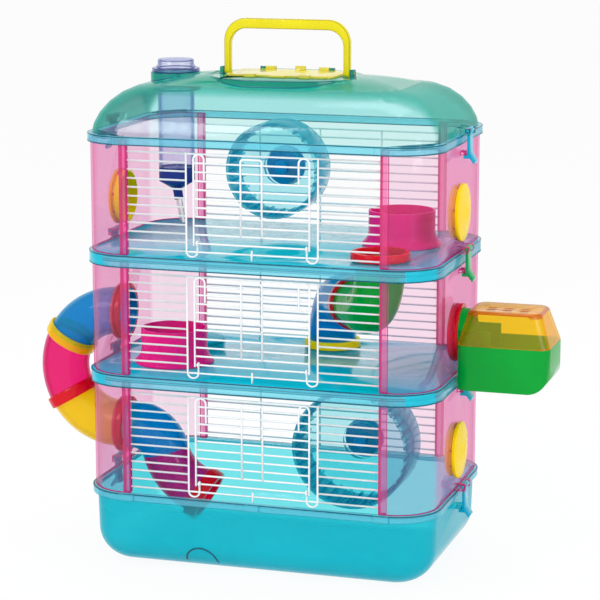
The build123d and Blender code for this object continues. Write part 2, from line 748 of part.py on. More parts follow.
def wheel_axle(place, deck):
    """Bracket that hooks on the back grille, with the axle and its retaining head."""
    centre_x = place[0]
    centre_z = deck + place[1]
    disc_y = wheel_back_y + bracket_gap
    plate_y = wire_plane - wire_radius - seat_gap
    row_above = ceil((centre_z - deck - first_row) / row_pitch)
    wire_z = deck + first_row + row_above * row_pitch
    head_y = wheel_back_y - wheel_hub_depth - seat_gap
    hook_foot = wire_z + wire_radius + seat_gap
    hook_back = wire_plane + wire_radius + seat_gap
    half = bracket_block / 2
    with BuildPart() as body:
        rod((centre_x, disc_y, centre_z), (centre_x, disc_y + bracket_thickness, centre_z), bracket_radius)
        axle_tip = (centre_x, head_y - bracket_thickness, centre_z)
        rod(axle_tip, (centre_x, disc_y, centre_z), axle_radius)
        rod(axle_tip, (centre_x, head_y, centre_z), axle_head_radius)
        block((centre_x - half, disc_y, centre_z - half),
              (centre_x + half, plate_y, hook_foot + bracket_thickness))
        block((centre_x - half, plate_y - seat_gap, hook_foot),
              (centre_x + half, hook_back + bracket_thickness / 2, hook_foot + bracket_thickness))
        block((centre_x - half, hook_back, hook_foot - bracket_hook),
              (centre_x + half, hook_back + bracket_thickness / 2, hook_foot + bracket_thickness))
    return body.part


save(wheel(upper_wheel_place, deck_z[2], upper_wheel_radius, upper_wheel_depth, upper_wheel_rungs),
     "upper_wheel")
save(wheel(lower_wheel_place, deck_z[0], lower_wheel_radius, lower_wheel_depth, lower_wheel_rungs),
     "lower_wheel")
save(wheel_axle(upper_wheel_place, deck_z[2]), "upper_wheel_axle")
save(wheel_axle(lower_wheel_place, deck_z[0]), "lower_wheel_axle")

# ====================================================================================
# Plugs, port rings and tubes
# ====================================================================================

ring_bore = tube_radius + ring_bore_gap


def port(side, storey):
    """Middle of a port on the outside of an end wall."""
    return side * wall_x, 0, deck_z[storey] + port_rise


def plug(origin, outward, name):
    """Domed cap with a hollow neck that pushes into a port."""
    top = seat_gap + plug_rim + plug_dome
    crown = [(plug_radius * share, top - plug_dome * share ** 2) for share in plug_crown]
    neck = [(plug_radius, seat_gap), (ring_neck, seat_gap), (ring_neck, -plug_depth),
            (ring_neck - plug_wall, -plug_depth), (ring_neck - plug_wall, seat_gap), (0, seat_gap)]
    save(turned(origin, outward, crown + neck), name)


plug(port(-1, 2), (-1, 0, 0), "upper_left_plug")
plug(port(1, 2), (1, 0, 0), "upper_right_plug")
plug(port(1, 0), (1, 0, 0), "lower_right_plug")
plug((floor_plug_place[0], floor_plug_place[1], deck_z[1]), (0, 0, 1), "floor_plug")

inner_face = -panel_wall - seat_gap
ring_outline = [
    (ring_bore, seat_gap + ring_flange_thickness), (ring_flange, seat_gap + ring_flange_thickness),
    (ring_flange, seat_gap), (ring_neck, seat_gap), (ring_neck, inner_face), (ring_flange, inner_face),
    (ring_flange, inner_face - ring_flange_thickness), (ring_bore, inner_face - ring_flange_thickness)]
ring_places = [(-1, 1), (-1, 0), (1, 1)]
save(Compound(children=[turned(port(*place), (place[0], 0, 0), ring_outline) for place in ring_places]),
     "port_rings")

# The outer tube leaves the middle port, turns through half a circle and enters the lower port.
tube_mid_x = -wall_x + panel_wall / 2
elbow_x = -wall_x - outer_tube_stub
half_circle = storey_pitch / 2
circle_z = deck_z[0] + port_rise + half_circle
join_angle = 180.0 / 3
joint_gap = degrees(seat_gap / half_circle)
stub_run = abs(elbow_x) - abs(tube_mid_x) - seat_gap


def half_circle_point(angle):
    """Point on the outer tube's centreline. 90 is the upper end, -90 the lower end."""
    return elbow_x - half_circle * cos(radians(angle)), circle_z + half_circle * sin(radians(angle))


first_stub = stub_run + panel_wall + ring_flange_thickness
save(pipe(Plane.XZ, (elbow_x + first_stub, circle_z + half_circle), 180.0,
          [("run", first_stub), ("bend", half_circle, join_angle - joint_gap)])[0],
     "outer_tube_upper_elbow")
save(pipe(Plane.XZ, half_circle_point(90.0 - join_angle - joint_gap), 180.0 + join_angle + joint_gap,
          [("bend", half_circle, join_angle - 2 * joint_gap)])[0], "outer_tube_middle")
save(pipe(Plane.XZ, half_circle_point(90.0 - 2 * join_angle - joint_gap),
          180.0 + 2 * join_angle + joint_gap,
          [("bend", half_circle, join_angle - joint_gap), ("run", stub_run)])[0],
     "outer_tube_lower_elbow")


def coupling(x, y, z, direction, name):
    """Straight sleeve round the joint of two tubes, with a raised middle."""
    half = coupling_length / 2
    bore = tube_radius + coupling_gap
    save(turned((x, y, z), direction, [
        (bore, -half), (coupling_radius - coupling_step, -half), (coupling_radius, -half + coupling_slope),
        (coupling_radius, half - coupling_slope), (coupling_radius - coupling_step, half), (bore, half)]),
        name)


for name, angle in (("outer_tube_upper_coupling", 90.0 - join_angle),
                    ("outer_tube_lower_coupling", 90.0 - 2 * join_angle)):
    x, z = half_circle_point(angle)
    coupling(x, 0, z, (sin(radians(angle)), 0, cos(radians(angle))), name)

# The inner tube dips from the lower left port to just above the tray.
inner_start = (tube_mid_x + seat_gap, deck_z[0] + port_rise)
elbow, bend_point, bend_angle = pipe(Plane.XZ, inner_start, 0.0,
                                     [("run", inner_bend_straight),
                                      ("bend", inner_bend_radius, -inner_bend_turn)])
save(elbow, "inner_tube_upper_elbow")
skip = Vector(cos(radians(bend_angle)), sin(radians(bend_angle))) * seat_gap
tail, tail_point, tail_angle = pipe(Plane.XZ, tuple(bend_point + skip)[:2], bend_angle,
                                    [("bend", inner_return_radius, inner_return_turn),
                                     ("run", inner_end_straight)])
save(tail, "inner_tube_lower_elbow")
tail_way = (cos(radians(tail_angle)), 0, sin(radians(tail_angle)))
end_x = tail_point.X - tail_way[0] * end_ring_length / 2
end_z = tail_point.Y - tail_way[2] * end_ring_length / 2
ring_half = end_ring_length / 2
lip_end = ring_half + seat_gap + tube_wall
save(turned((end_x, 0, end_z), tail_way, [
    (ring_bore, -ring_half), (end_ring_radius, -ring_half), (end_ring_radius, lip_end),
    (tube_radius - tube_wall, lip_end), (tube_radius - tube_wall, ring_half + seat_gap),
    (ring_bore, ring_half + seat_gap)]), "inner_tube_end_ring")

# The climbing tube rises from the lower floor, crosses and rises through the upper floor.
run_x = climb_head[0] - climb_foot[0]
run_y = climb_head[1] - climb_foot[1]
run_length = hypot(run_x, run_y)
climb_way = (run_x / run_length, run_y / run_length, 0)
climb_plane = Plane(origin=(climb_foot[0], climb_foot[1], deck_z[1]), x_dir=climb_way,
                    z_dir=(climb_way[1], -climb_way[0], 0))
level_half = (run_length - 2 * climb_bend_radius) / 2
climb_middle_rise = climb_middle_share * storey_pitch
foot_run = climb_middle_rise - climb_bend_radius + deck_thickness
lower_elbow = pipe(climb_plane, (0, -deck_thickness), 90.0,
                   [("run", foot_run), ("bend", climb_bend_radius, -90.0),
                    ("run", level_half - seat_gap)])[0]
save(lower_elbow, "climbing_tube_lower_elbow")
head_run = storey_pitch - climb_middle_rise - climb_bend_radius
upper_elbow = pipe(climb_plane, (climb_bend_radius + level_half, climb_middle_rise), 0.0,
                   [("run", level_half), ("bend", climb_bend_radius, 90.0), ("run", head_run)])[0]
save(upper_elbow, "climbing_tube_upper_elbow")
coupling(climb_foot[0] + run_x / 2, climb_foot[1] + run_y / 2, deck_z[1] + climb_middle_rise, climb_way,
         "climbing_tube_coupling")


def floor_ring(place, deck, name):
    """Ring that stands in a deck's hole and holds the climbing tube."""
    save(turned((place[0], place[1], deck), (0, 0, 1), [
        (ring_bore, -deck_thickness), (ring_neck, -deck_thickness), (ring_neck, seat_gap),
        (floor_ring_flange, seat_gap), (floor_ring_flange, floor_ring_height - floor_ring_edge),
        (floor_ring_flange - floor_ring_edge, floor_ring_height), (ring_bore, floor_ring_height)]), name)


floor_ring(climb_foot, deck_z[1], "climbing_tube_floor_ring")
floor_ring(climb_head, deck_z[2], "climbing_tube_top_ring")

# ====================================================================================
# Nest pod
# ====================================================================================

pod_x = wall_x + pod_gap
pod_centre_x = pod_x + pod_length / 2
port_z = deck_z[1] + port_rise
pod_bottom_z = port_z - pod_depth
pod_split_z = port_z - pod_split_drop
pod_top_z = port_z + pod_rise
pod_wing_top = port_z + pod_wing_rise
tube_pod_x = wall_x - panel_wall - ring_flange_thickness / 2


def pod_block(inset, low_z):
    """Solid base of the pod with its rounded lower far edge."""
    with BuildPart() as body:
        with BuildSketch(Plane.XY.offset(low_z)):
            with Locations((pod_centre_x, 0)):
                RectangleRounded(pod_length - 2 * inset, pod_width - 2 * inset, pod_corner - inset)
        extrude(amount=pod_split_z - low_z)
        with BuildSketch(Plane.XZ):
            with Locations((pod_centre_x, pod_split_z)):
                side_view = Rectangle(pod_length - 2 * inset, 2 * (pod_split_z - low_z))
            lower = side_view.vertices().group_by(Axis.Y)[0].sort_by(Axis.X)
            fillet(lower[-1], pod_bottom_rounding - inset)
        extrude(amount=pod_width, both=True, mode=Mode.INTERSECT)
    return body.part


with BuildPart() as nest_pod_base:
    add(pod_block(0.0, pod_bottom_z))
    notch_low = (pod_x - pod_wall, -pod_notch_width / 2, pod_bottom_z - pod_wall)
    notch_high = (pod_x + pod_notch_depth, pod_notch_width / 2, pod_bottom_z + pod_notch_height)
    add(pod_block(pod_wall, pod_bottom_z + pod_wall), mode=Mode.SUBTRACT)
    block((pod_x + pod_wall / 2, notch_low[1] - pod_wall, pod_bottom_z + pod_wall / 2),
          (notch_high[0] + pod_wall, notch_high[1] + pod_wall, notch_high[2] + pod_wall))
    block(notch_low, notch_high, mode=Mode.SUBTRACT)
    spigot_end = pod_x + pod_wall + pod_spigot_lap
    rod((tube_pod_x, 0, port_z), (spigot_end, 0, port_z), tube_radius)
    for side in (-1, 1):
        wing_y = sorted((side * (tube_radius - tube_wall), side * tube_radius))
        block((pod_x + pod_wing_start, wing_y[0], pod_bottom_z + pod_wall / 2),
              (pod_x + pod_wing_length, wing_y[1], pod_wing_top))
    with Locations(Plane(origin=(pod_x, 0, port_z), z_dir=(1, 0, 0))):
        Cylinder(tube_radius - tube_wall, 4 * pod_spigot_lap, mode=Mode.SUBTRACT)
save(nest_pod_base.part, "nest_pod_base")


def pod_lid_block(inset, low_z, high_z):
    """Tapered block of the lid."""
    with BuildPart() as body:
        for level, taper in ((low_z, 0.0), (high_z, pod_lid_taper)):
            with BuildSketch(Plane.XY.offset(level)):
                with Locations((pod_centre_x + taper * (pod_lean_far - 1) / -2, 0)):
                    RectangleRounded(pod_length - taper * (1 + pod_lean_far) - 2 * inset,
                                     pod_width - 2 * taper - 2 * inset, pod_corner - inset)
        loft(ruled=True)
    return body.part


with BuildPart() as nest_pod_lid:
    lid_foot_z = pod_split_z + seat_gap
    add(pod_lid_block(0.0, lid_foot_z, pod_top_z))
    upper_edges = nest_pod_lid.faces().sort_by(Axis.Z)[-1].edges()
    fillet(upper_edges, pod_lid_rounding)
    add(pod_lid_block(pod_wall, lid_foot_z, pod_top_z - pod_wall), mode=Mode.SUBTRACT)
    with Locations(Plane(origin=(pod_x, 0, port_z), z_dir=(1, 0, 0))):
        Cylinder(tube_radius + hole_gap, 2 * pod_spigot_lap + 2 * pod_lid_taper, mode=Mode.SUBTRACT)
    arch_half = tube_radius + hole_gap
    block((pod_x - pod_wall, -arch_half, lid_foot_z - pod_wall), (pod_x + pod_lid_taper, arch_half, port_z),
          mode=Mode.SUBTRACT)
    for vent in range(vent_count):
        row, column = vent % 2, vent // 2
        vent_x = pod_centre_x + (column - 1) * vent_pitch_along
        vent_y = -(row + 0.5) * vent_pitch_across
        with BuildSketch(Plane.XY.offset(pod_top_z)):
            with Locations((vent_x, vent_y)):
                SlotOverall(vent_length, vent_width)
        extrude(amount=-2 * pod_wall, mode=Mode.SUBTRACT)
save(nest_pod_lid.part, "nest_pod_lid")

# ====================================================================================
# Food bowls
# ====================================================================================


def bowl(place, deck, name):
    """Round bowl that flares to a wide foot."""
    low = deck + seat_gap
    top = low + bowl_height
    save(turned((place[0], place[1], 0), (0, 0, 1), [
        (0, low), (bowl_foot_radius, low), (bowl_foot_radius, low + bowl_wall),
        (bowl_radius + bowl_wall, low + bowl_flare_knee), (bowl_radius, low + bowl_flare_top),
        (bowl_radius, top), (bowl_radius - bowl_wall, top), (bowl_radius - bowl_wall, low + bowl_floor),
        (0, low + bowl_floor)]), name)


bowl(upper_bowl_place, deck_z[2], "upper_food_bowl")
bowl(middle_bowl_place, deck_z[1], "middle_food_bowl")

# ====================================================================================
# Clips on the end walls
# ====================================================================================


def clip(side, deck, name):
    """Hinged clip that reaches down past a band and hooks under the catch below it."""
    pivot_x = side * (length / 2 + clip_pivot_out)
    pivot_z = deck + clip_pivot_rise
    toe_z = pivot_z - clip_reach
    foot_z = toe_z - clip_toe
    half = clip_arm / 2
    outer = side * half
    outline = [
        (pivot_x - outer, pivot_z), (pivot_x - outer, toe_z), (pivot_x - side * clip_hook, toe_z),
        (pivot_x - side * clip_hook, foot_z), (pivot_x + outer, foot_z),
        (pivot_x + side * clip_lever, foot_z - clip_lever),
        (pivot_x + side * (clip_lever + half), foot_z - clip_lever / 2),
        (pivot_x + outer, foot_z + clip_lever), (pivot_x + outer, pivot_z)]
    with BuildPart() as body:
        with BuildSketch(Plane.XZ):
            with BuildLine():
                Polyline(*outline, close=True)
            make_face()
        extrude(amount=clip_width / 2, both=True)
        ear_end = clip_width / 2 + seat_gap + ear_thickness
        rod((pivot_x, -clip_width / 2, pivot_z), (pivot_x, clip_width / 2, pivot_z), clip_barrel)
        rod((pivot_x, -ear_end, pivot_z), (pivot_x, ear_end, pivot_z), clip_pin)
    save(body.part, name)


clip_decks = {"tray": deck_z[0], "lower_floor": deck_z[1], "upper_floor": deck_z[2], "roof": roof_rim_top}
for place, deck in clip_decks.items():
    clip(-1, deck, f"{place}_left_clip")
    clip(1, deck, f"{place}_right_clip")
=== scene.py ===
import bpy
import bmesh
import json
import math
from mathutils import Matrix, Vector
from mathutils.bvhtree import BVHTree


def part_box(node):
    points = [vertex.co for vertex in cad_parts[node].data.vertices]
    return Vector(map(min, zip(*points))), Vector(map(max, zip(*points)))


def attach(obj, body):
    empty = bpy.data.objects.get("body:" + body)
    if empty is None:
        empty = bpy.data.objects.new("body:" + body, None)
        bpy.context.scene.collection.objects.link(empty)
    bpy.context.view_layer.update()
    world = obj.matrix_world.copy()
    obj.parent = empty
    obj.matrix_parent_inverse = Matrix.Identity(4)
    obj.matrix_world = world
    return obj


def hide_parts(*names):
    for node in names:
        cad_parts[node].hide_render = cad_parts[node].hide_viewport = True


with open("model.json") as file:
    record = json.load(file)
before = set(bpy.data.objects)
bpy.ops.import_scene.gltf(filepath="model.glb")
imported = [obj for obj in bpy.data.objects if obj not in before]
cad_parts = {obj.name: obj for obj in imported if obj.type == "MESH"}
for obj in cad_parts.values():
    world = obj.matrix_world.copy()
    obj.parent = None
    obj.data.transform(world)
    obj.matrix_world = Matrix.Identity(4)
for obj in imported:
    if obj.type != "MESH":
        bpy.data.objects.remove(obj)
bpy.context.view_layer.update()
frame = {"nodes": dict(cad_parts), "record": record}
print("frame loaded", len(frame["nodes"]), "nodes")

scene = bpy.context.scene
scene.view_settings.view_transform = "Standard"
scene.cycles.transparent_max_bounces = 48  # a ray passes many clear walls
scene.cycles.max_bounces = 12

mm = 0.001

cameraView = {"place": (0.76617, -2.41368, 0.78921), "yaw": 17.299, "pitch": 11.264,
              "lens": 138.74, "farClip": 40.0}


def addCamera():
    data = bpy.data.cameras.new("viewCamera")
    data.lens = cameraView["lens"]
    data.clip_end = cameraView["farClip"]
    cam = bpy.data.objects.new("viewCamera", data)
    scene.collection.objects.link(cam)
    yaw, pitch = math.radians(cameraView["yaw"]), math.radians(cameraView["pitch"])
    look = Vector((-math.sin(yaw) * math.cos(pitch), math.cos(yaw) * math.cos(pitch), -math.sin(pitch)))
    cam.location = cameraView["place"]
    cam.rotation_euler = look.to_track_quat("-Z", "Y").to_euler()
    scene.camera = cam


addCamera()

# key from the upper left, fill from the right, a soft one above
studio = {
    "keyPower": 27.0, "keySize": 1.1, "keyPlace": (-1.3, -2.0, 1.9),
    "fillPower": 17.0, "fillSize": 1.2, "fillPlace": (2.2, -1.2, 1.3),
    "topPower": 10.0, "topSize": 1.0, "topPlace": (0.1, 0.5, 2.2),
    "aim": (0, 0, 0.28), "skyLevel": 0.78,
    "floorShow": 0.90, "floorSize": 20.0, "floorDrop": 0.6, "floorColour": (0.88, 0.88, 0.89, 1),
}


def addAreaLamp(name, place, size, power):
    data = bpy.data.lights.new(name, "AREA")
    data.shape = "SQUARE"
    data.size = size
    data.energy = power
    lamp = bpy.data.objects.new(name, data)
    scene.collection.objects.link(lamp)
    lamp.location = place
    aim = Vector(studio["aim"]) - Vector(place)
    lamp.rotation_euler = aim.to_track_quat("-Z", "Y").to_euler()


def mathNode(tree, operation, first, second):
    node = tree.nodes.new("ShaderNodeMath")
    node.operation = operation
    tree.links.new(first, node.inputs[0])
    tree.links.new(second, node.inputs[1])
    return node.outputs[0]


def mixShaders(tree, factor, first, second):
    # first where the factor is nought, second where it is 1
    mix = tree.nodes.new("ShaderNodeMixShader")
    tree.links.new(factor, mix.inputs["Fac"])
    tree.links.new(first, mix.inputs[1])
    tree.links.new(second, mix.inputs[2])
    return mix.outputs[0]


def whiteGlow(tree, kind, strength):
    glow = tree.nodes.new(kind)
    glow.inputs["Color"].default_value = (1, 1, 1, 1)
    glow.inputs["Strength"].default_value = strength
    return glow.outputs[0]


def rayShows(tree):
    # 1 where the camera, a reflection or clear plastic sees the surface
    path = tree.nodes.new("ShaderNodeLightPath")
    direct = mathNode(tree, "MAXIMUM", path.outputs["Is Camera Ray"], path.outputs["Is Glossy Ray"])
    return mathNode(tree, "MAXIMUM", direct, path.outputs["Is Transmission Ray"])


def addWorld():
    # shows white, and lights the cage at a lower level
    world = bpy.data.worlds.new("studioSky")
    scene.world = world
    world.use_nodes = True
    tree = world.node_tree
    tree.nodes.clear()
    out = tree.nodes.new("ShaderNodeOutputWorld")
    sky = whiteGlow(tree, "ShaderNodeBackground", studio["skyLevel"])
    shown = whiteGlow(tree, "ShaderNodeBackground", 1.0)
    tree.links.new(mixShaders(tree, rayShows(tree), sky, shown), out.inputs["Surface"])


def addFloor():
    # mostly plain white to the eye, with the matt part carrying the shadow
    mesh = bpy.data.meshes.new("studioFloor")
    bm = bmesh.new()
    bmesh.ops.create_grid(bm, x_segments=1, y_segments=1, size=studio["floorSize"])
    bmesh.ops.translate(bm, verts=bm.verts, vec=(0, 0, -studio["floorDrop"] * mm))
    bm.to_mesh(mesh)
    bm.free()
    floor = bpy.data.objects.new("studioFloor", mesh)
    scene.collection.objects.link(floor)
    mat = bpy.data.materials.new("paleFloor")
    mat.use_nodes = True
    tree = mat.node_tree
    tree.nodes.clear()
    out = tree.nodes.new("ShaderNodeOutputMaterial")
    matt = tree.nodes.new("ShaderNodeBsdfDiffuse")
    matt.inputs["Color"].default_value = studio["floorColour"]
    glow = whiteGlow(tree, "ShaderNodeEmission", 1.0)
    share = tree.nodes.new("ShaderNodeMath")
    share.operation = "MULTIPLY"
    share.inputs[1].default_value = studio["floorShow"]
    tree.links.new(rayShows(tree), share.inputs[0])
    tree.links.new(mixShaders(tree, share.outputs[0], matt.outputs[0], glow), out.inputs["Surface"])
    mesh.materials.append(mat)


addWorld()
addFloor()
for lampName in ("key", "fill", "top"):
    addAreaLamp(lampName + "Lamp", studio[lampName + "Place"], studio[lampName + "Size"],
                studio[lampName + "Power"])
print("studio ready")

# glow and deep: what one wall face lets through, seen square on and at a slant
# turn: the slant from which the glow gives way to the deep
# skin: colour of the plastic; body and edge: how solid it looks square on, and how much more at a slant
# face and shine: how strongly it mirrors square on and at a slant
# highlightPaling: a painted highlight that pales the tray's skin towards its top and left end; the share
# left at the tray's top, the heights it runs between, the share left at the left end
# lamp: what lamps send on through it
clearPlastics = {
    "roofTurquoise": {
        "glow": (0.80, 0.955, 0.95), "deep": (0.02, 0.55, 0.44), "skin": (0.0, 0.42, 0.34),
        "body": 0.02, "edge": 0.70, "lamp": (0.95, 1.0, 1.0), "turn": 0.42, "shine": 0.08},
    "floorTurquoise": {
        "glow": (0.34, 0.88, 0.93), "deep": (0.10, 0.72, 0.80), "skin": (0.0, 0.56, 0.72),
        "body": 0.72, "edge": 0.20, "lamp": (0.9, 1.0, 1.0)},
    "trayTurquoise": {
        "glow": (0.30, 0.88, 0.92), "deep": (0.0, 0.60, 0.70), "skin": (0.0, 0.43, 0.55),
        "body": 0.72, "edge": 0.20, "lamp": (0.8, 1.0, 1.0),
        # painted highlight: paler towards the top and the left end of the tray
        "highlightPaling": {"top": 0.45, "low": 0.030, "high": 0.078, "left": 0.80},
        "shine": 0.07, "face": 0.006},
    "rimTurquoise": {
        "glow": (0.40, 0.82, 0.88), "deep": (0.02, 0.44, 0.54), "skin": (0.02, 0.40, 0.52),
        "body": 0.35, "edge": 0.45, "lamp": (0.9, 1.0, 1.0)},
    "trayInside": {
        "glow": (0.66, 0.93, 0.94), "deep": (0.20, 0.76, 0.80), "skin": (0.0, 0.50, 0.60),
        "body": 0.06, "edge": 0.10, "lamp": (0.9, 1.0, 1.0)},
    "bandTurquoise": {
        "glow": (0.60, 0.91, 0.95), "deep": (0.16, 0.66, 0.78), "skin": (0.20, 0.66, 0.80),
        "body": 0.30, "edge": 0.30, "lamp": (0.9, 1.0, 1.0)},
    "darkTeal": {
        "glow": (0.08, 0.50, 0.60), "deep": (0.0, 0.16, 0.24), "skin": (0.0, 0.12, 0.19),
        "body": 0.62, "edge": 0.35, "lamp": (0.9, 1.0, 1.0)},
    "padTeal": {
        "glow": (0.10, 0.80, 0.64), "deep": (0.0, 0.36, 0.24), "skin": (0.0, 0.34, 0.24),
        "body": 0.62, "edge": 0.35, "lamp": (0.9, 1.0, 1.0)},
    "barPink": {
        "glow": (0.97, 0.62, 0.80), "deep": (0.88, 0.20, 0.46), "skin": (0.94, 0.14, 0.42),
        "body": 0.22, "edge": 0.40, "lamp": (1.0, 0.94, 0.97)},
    "rimYellow": {
        "glow": (0.86, 0.76, 0.04), "deep": (0.36, 0.30, 0.0), "skin": (0.46, 0.38, 0.0),
        "body": 0.60, "edge": 0.35, "lamp": (1.0, 0.97, 0.7)},
    "wheelTurquoise": {
        "glow": (0.70, 0.94, 0.96), "deep": (0.05, 0.66, 0.78), "skin": (0.0, 0.48, 0.64),
        "body": 0.08, "edge": 0.60, "lamp": (0.95, 1.0, 1.0)},
    "wheelRim": {
        "glow": (0.36, 0.86, 0.92), "deep": (0.0, 0.52, 0.66), "skin": (0.0, 0.44, 0.62),
        "body": 0.38, "edge": 0.40, "lamp": (0.9, 1.0, 1.0)},
    "clearPink": {
        "glow": (0.97, 0.86, 0.92), "deep": (0.90, 0.42, 0.66), "skin": (0.92, 0.20, 0.50),
        "body": 0.02, "edge": 0.16, "lamp": (1.0, 0.94, 0.97), "turn": 0.5},
    "rimPink": {
        "glow": (0.85, 0.20, 0.48), "deep": (0.62, 0.0, 0.16), "skin": (0.66, 0.01, 0.19),
        "body": 0.60, "edge": 0.35, "lamp": (1.0, 0.9, 0.95)},
    "clearBlue": {
        "glow": (0.05, 0.66, 0.93), "deep": (0.0, 0.30, 0.62), "skin": (0.002, 0.37, 0.66),
        "body": 0.34, "edge": 0.50, "lamp": (0.8, 0.95, 1.0)},
    "clearMagenta": {
        "glow": (0.98, 0.34, 0.66), "deep": (0.78, 0.0, 0.24), "skin": (0.80, 0.015, 0.28),
        "body": 0.10, "edge": 0.50, "lamp": (1.0, 0.8, 0.9)},
    "clearRed": {
        "glow": (0.95, 0.10, 0.10), "deep": (0.60, 0.0, 0.01), "skin": (0.80, 0.0, 0.02),
        "body": 0.50, "edge": 0.45, "lamp": (1.0, 0.8, 0.8)},
    "clearYellow": {
        "glow": (0.99, 0.88, 0.12), "deep": (0.90, 0.52, 0.0), "skin": (0.95, 0.72, 0.003),
        "body": 0.36, "edge": 0.50, "lamp": (1.0, 0.97, 0.7)},
    "hatchYellow": {
        "glow": (0.90, 0.84, 0.10), "deep": (0.60, 0.50, 0.0), "skin": (0.74, 0.66, 0.10),
        "body": 0.75, "edge": 0.22, "lamp": (1.0, 0.97, 0.7), "shine": 0.06},
    "handleYellow": {
        "glow": (0.99, 0.94, 0.10), "deep": (0.62, 0.50, 0.0), "skin": (0.82, 0.72, 0.005),
        "body": 0.80, "edge": 0.18, "lamp": (1.0, 0.97, 0.7), "shine": 0.08},
    "clearGreen": {
        "glow": (0.06, 0.80, 0.16), "deep": (0.0, 0.36, 0.04), "skin": (0.0, 0.40, 0.045),
        "body": 0.74, "edge": 0.24, "lamp": (0.8, 1.0, 0.8), "shine": 0.08, "face": 0.008},
    "clearOrange": {
        "glow": (0.99, 0.88, 0.25), "deep": (0.92, 0.50, 0.02), "skin": (0.96, 0.56, 0.02),
        "body": 0.10, "edge": 0.50, "lamp": (1.0, 0.93, 0.8)},
    "rimOrange": {
        "glow": (0.95, 0.48, 0.04), "deep": (0.55, 0.12, 0.0), "skin": (0.52, 0.13, 0.0),
        "body": 0.70, "edge": 0.40, "lamp": (1.0, 0.93, 0.8)},
    "clearBottle": {
        "glow": (0.93, 0.94, 0.985), "deep": (0.42, 0.48, 0.74), "skin": (0.34, 0.40, 0.64),
        "body": 0.05, "edge": 0.45, "lamp": (0.97, 0.97, 1.0)},
    "rimBottle": {
        "glow": (0.30, 0.34, 0.60), "deep": (0.03, 0.04, 0.18), "skin": (0.03, 0.04, 0.16),
        "body": 0.70, "edge": 0.28, "lamp": (0.9, 0.9, 1.0)},
    "clearClip": {
        "glow": (0.04, 0.66, 0.85), "deep": (0.0, 0.26, 0.42), "skin": (0.0, 0.46, 0.66),
        "body": 0.70, "edge": 0.25, "lamp": (0.9, 1.0, 1.0)},
    "greenClip": {
        "glow": (0.08, 0.75, 0.30), "deep": (0.0, 0.40, 0.10), "skin": (0.0, 0.42, 0.12),
        "body": 0.60, "edge": 0.35, "lamp": (0.9, 1.0, 0.9)},
}
solidPlastics = {
    "yellowPlastic": {"skin": (1.0, 0.66, 0.0), "rough": 0.30},
    "magentaPlastic": {"skin": (0.86, 0.012, 0.24), "rough": 0.26},
    "navyPlastic": {"skin": (0.016, 0.035, 0.22), "rough": 0.24},
    "hubBlue": {"skin": (0.0, 0.24, 0.52), "rough": 0.26},
    "redPlastic": {"skin": (0.80, 0.004, 0.02), "rough": 0.26},
    "tealPlastic": {"skin": (0.0, 0.42, 0.52), "rough": 0.26},
}
# surface of the moulded plastics: slow waves, a fine grain, rub marks in the gloss
moulding = {
    "waveScale": 20.0, "waveDetail": 2.0, "waveStrength": 0.5,
    "grainScale": 900.0, "grainDetail": 3.0, "grainStrength": 0.2, "grainDepth": 0.00002,
    "rubScale": 60.0, "rubDetail": 6.0, "rubTwist": 1.5, "rubRange": (0.35, 0.75),
}
gloss = {
    "ior": 1.45, "specular": 0.1, "rough": (0.05, 0.14), "wave": 0.0005,
    "faceMirror": 0.018, "slantMirror": 0.20, "mirrorFrom": 0.5,
    "turn": 0.35, "skinFrom": 0.45, "darker": 0.9, "lighter": 1.1,
}
solidGloss = {
    "ior": 1.4, "specular": 0.18, "smoother": 0.06, "rougher": 0.12, "wave": 0.0004,
    "glowThrough": 0.06, "glowRadius": (0.004, 0.003, 0.002), "darker": 0.9, "lighter": 1.08,
}
# clouds: slow random patches in the tray's skin; along: the x range in metres over which the painted
# highlight pales its left end
clouds = {"scale": 9.0, "detail": 3.0, "twist": 0.6, "range": (0.35, 0.6), "share": (0.82, 1.05),
          "along": (-0.2, -0.06)}
finishes = {}


def newTree(name):
    mat = bpy.data.materials.new(name)
    mat.use_nodes = True
    tree = mat.node_tree
    tree.nodes.clear()
    out = tree.nodes.new("ShaderNodeOutputMaterial")
    finishes[name] = mat
    return tree, out


def noiseNode(tree, spot, scale, detail, distortion=0.0):
    noise = tree.nodes.new("ShaderNodeTexNoise")
    noise.inputs["Scale"].default_value = scale
    noise.inputs["Detail"].default_value = detail
    noise.inputs["Distortion"].default_value = distortion
    tree.links.new(spot.outputs["Object"], noise.inputs["Vector"])
    return noise.outputs["Fac"]


def rangeNode(tree, value, low, high, fromLow=0.0, fromHigh=1.0):
    ramp = tree.nodes.new("ShaderNodeMapRange")
    ramp.inputs["From Min"].default_value = fromLow
    ramp.inputs["From Max"].default_value = fromHigh
    ramp.inputs["To Min"].default_value = low
    ramp.inputs["To Max"].default_value = high
    tree.links.new(value, ramp.inputs["Value"])
    return ramp.outputs["Result"]


def mixColour(tree, factor, first, second):
    mix = tree.nodes.new("ShaderNodeMix")
    mix.data_type = "RGBA"
    mix.inputs["A"].default_value = (*first, 1)
    mix.inputs["B"].default_value = (*second, 1)
    tree.links.new(factor, mix.inputs["Factor"])
    return mix.outputs["Result"]


def bumpNode(tree, height, strength, depth):
    bump = tree.nodes.new("ShaderNodeBump")
    bump.inputs["Strength"].default_value = strength
    bump.inputs["Distance"].default_value = depth
    tree.links.new(height, bump.inputs["Height"])
    return bump


